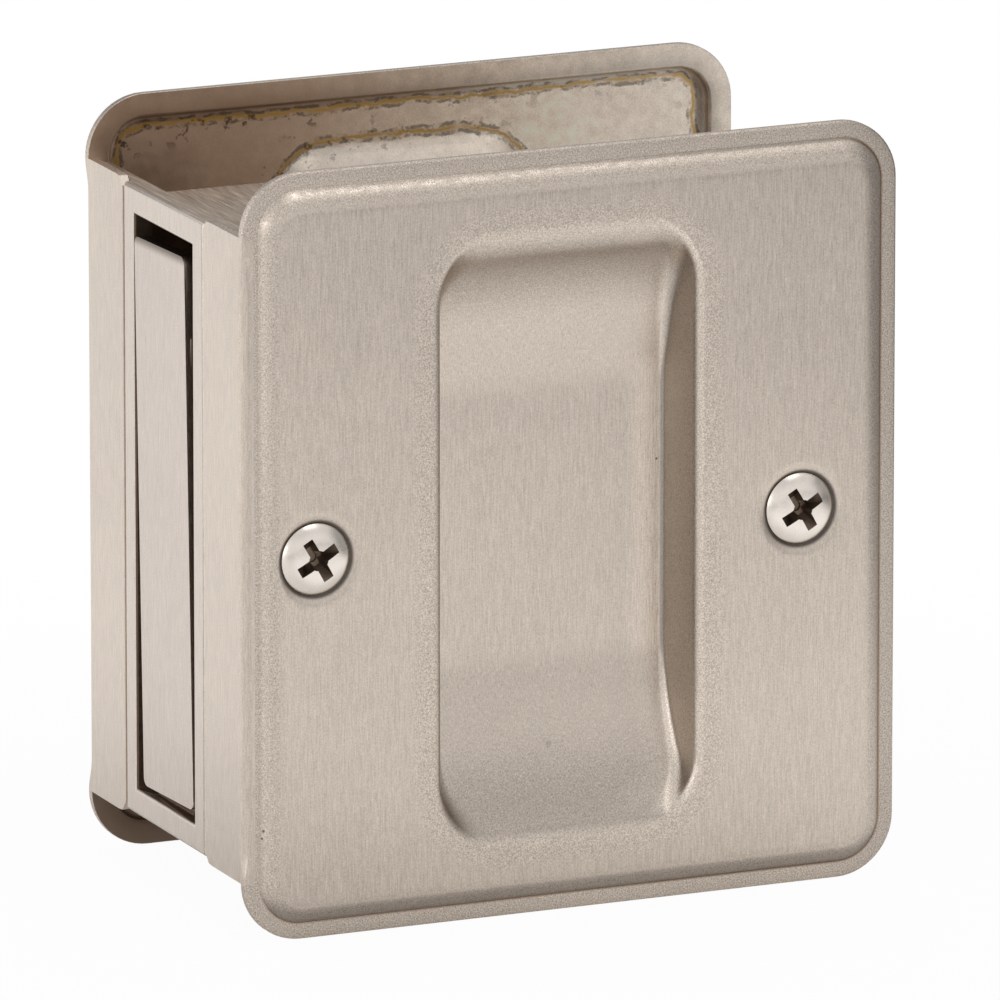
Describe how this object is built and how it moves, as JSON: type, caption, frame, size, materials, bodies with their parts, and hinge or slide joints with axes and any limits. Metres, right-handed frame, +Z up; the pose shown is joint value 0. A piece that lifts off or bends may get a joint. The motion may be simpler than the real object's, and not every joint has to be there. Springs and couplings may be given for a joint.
{
  "type": "pocket door pull",
  "caption": "Passage pull for a pocket door: stamped face plates with finger cups wrap the door's edge round a case with a swinging edge pull.",
  "frame": {"origin": "under the middle of the part, on the surface that it stands on when its plates are upright", "axes": "+Z up, front plate with the screws faces -Y, the door's edge is at -X, and the door goes in from +X"},
  "size_m": [0.0636, 0.0394, 0.0698],
  "materials": {
    "plate_metal": "satin nickel, brushed upright, with a grained rim",
    "case_metal": "satin nickel on a casting",
    "pull_metal": "satin nickel, brushed upright",
    "pin_metal": "plain drawn steel",
    "screw_metal": "polished nickel",
    "post_metal": "plain turned brass"
  },
  "bodies": {
    "pull_set": {"front_plate": "plate_metal", "back_plate": "plate_metal", "edge_case": "case_metal", "pull_pin": "pin_metal", "face_screws": "screw_metal", "threaded_posts": "post_metal"},
    "edge_pull": {"edge_pull": "pull_metal"}
  },
  "joints": [
    {"name": "edge_pull_swing", "type": "hinge", "parent": "pull_set", "child": "edge_pull", "pos_m": [-0.02735, 0, 0.05003], "axis": [0, 1, 0], "range_deg": [0, 80]}
  ]
}
